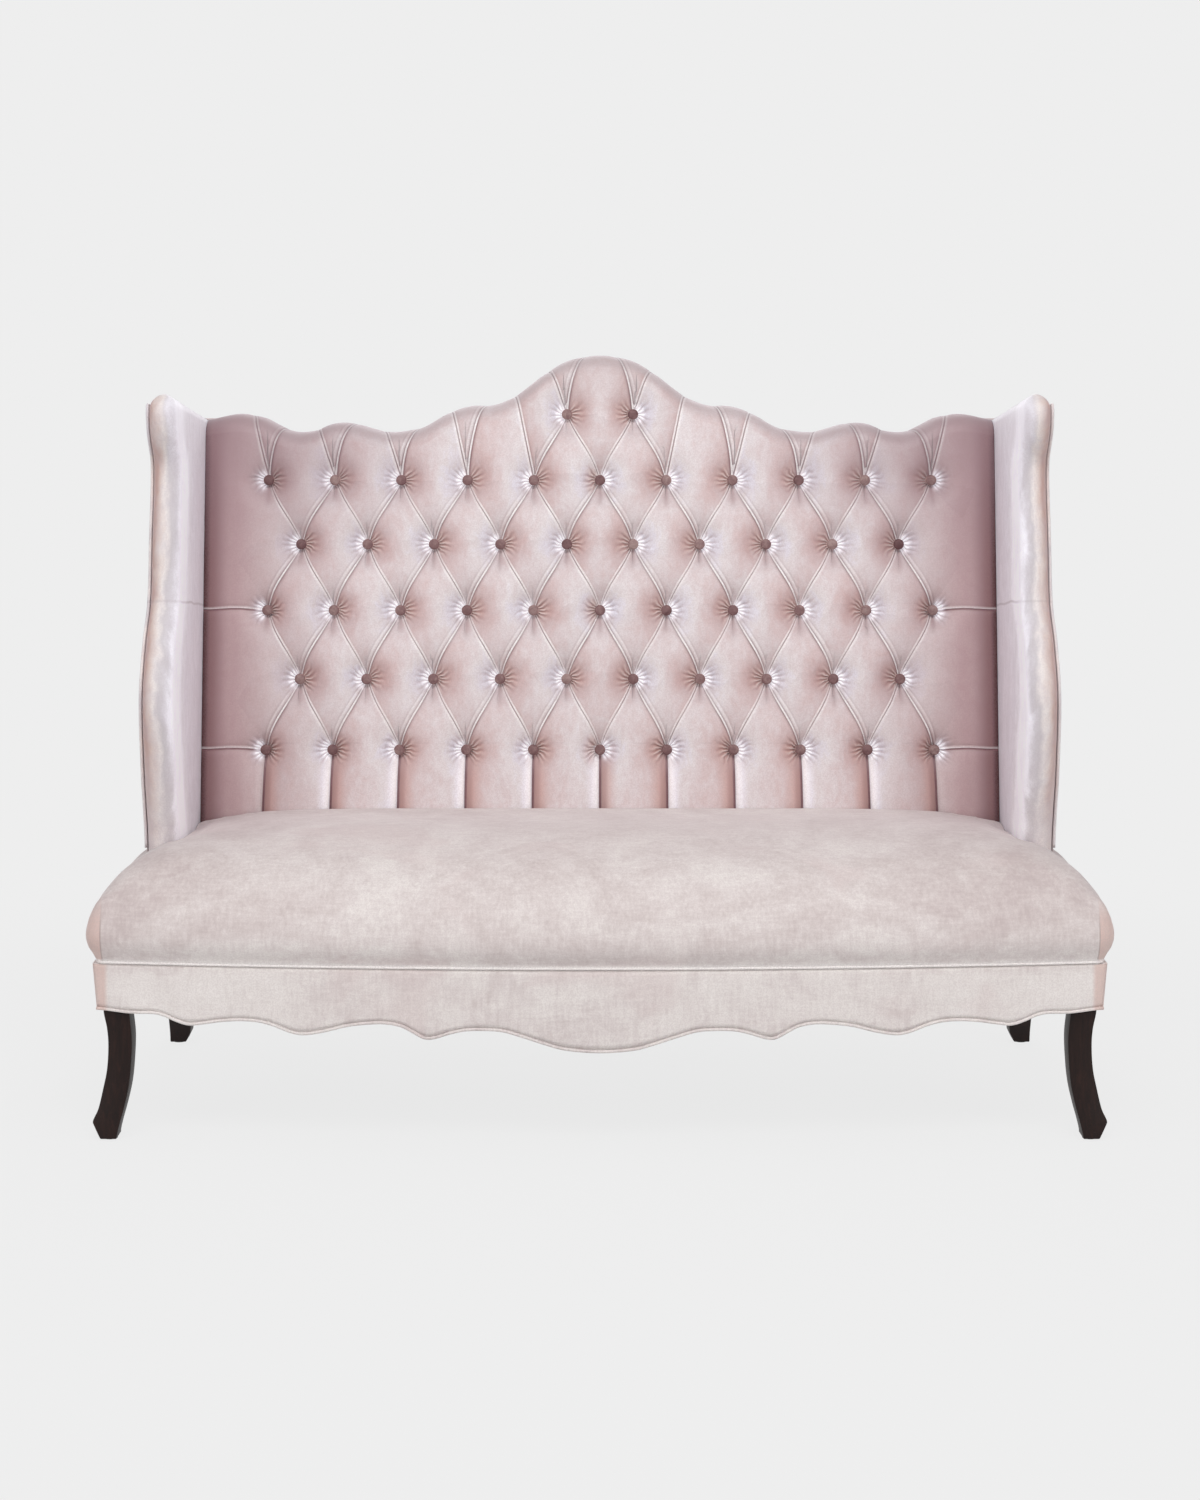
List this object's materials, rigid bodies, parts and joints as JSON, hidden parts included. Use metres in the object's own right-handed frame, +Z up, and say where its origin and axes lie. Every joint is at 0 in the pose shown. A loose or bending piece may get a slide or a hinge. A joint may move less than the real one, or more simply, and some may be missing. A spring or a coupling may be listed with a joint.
{
  "type": "high back settee",
  "caption": "High-backed settee with a diamond-tufted serpentine back, padded wings, bowed bench seat, scalloped apron and sabre legs.",
  "frame": {"origin": "on the floor, under the middle of the settee's outer box", "axes": "+X towards the right end seen from the front, +Y towards the back, +Z up"},
  "size_m": [1.882, 0.8658, 1.4388],
  "materials": {
    "velvet_seat": "crushed velvet, pale blush grey",
    "velvet_back": "velvet, blush pink",
    "velvet_wing": "velvet, pale lilac grey",
    "button_velvet": "velvet, mauve brown",
    "leg_wood": "espresso stain, satin lacquer",
    "frame_wood": "bare kiln-dried hardwood",
    "spring_steel": "bare",
    "jute_cloth": "woven jute",
    "dust_cloth": "black non-woven cloth",
    "glide_plastic": "matte black"
  },
  "bodies": {
    "root": {"front_rail": "frame_wood", "rear_rail": "frame_wood", "side_rail_left": "frame_wood", "side_rail_right": "frame_wood", "seat_stretchers": "frame_wood", "corner_blocks": "frame_wood", "wing_sill_left": "frame_wood", "wing_sill_right": "frame_wood", "apron_board": "frame_wood", "seat_springs": "spring_steel", "spring_clips": "spring_steel", "seat_deck": "jute_cloth", "seat_pad": "velvet_seat", "seat_welt": "velvet_seat", "apron_cover": "velvet_seat", "apron_welt": "velvet_seat", "side_cover_left": "velvet_seat", "side_cover_right": "velvet_seat", "dust_cover": "dust_cloth", "front_leg_left": "leg_wood", "front_leg_right": "leg_wood", "rear_leg_left": "leg_wood", "rear_leg_right": "leg_wood", "leg_bolts": "spring_steel", "glides": "glide_plastic", "back_post_left": "frame_wood", "back_post_right": "frame_wood", "back_lower_rail": "frame_wood", "back_stiles": "frame_wood", "crest_board": "frame_wood", "back_cloth": "jute_cloth", "back_pad": "velvet_back", "tuft_buttons": "button_velvet", "outside_back": "velvet_back", "back_welt": "velvet_back", "wing_board_left": "frame_wood", "wing_board_right": "frame_wood", "wing_pad_left": "velvet_wing", "wing_pad_right": "velvet_wing", "wing_panel_left": "velvet_back", "wing_panel_right": "velvet_back", "wing_welt_left": "velvet_back", "wing_welt_right": "velvet_back"}
  },
  "joints": []
}
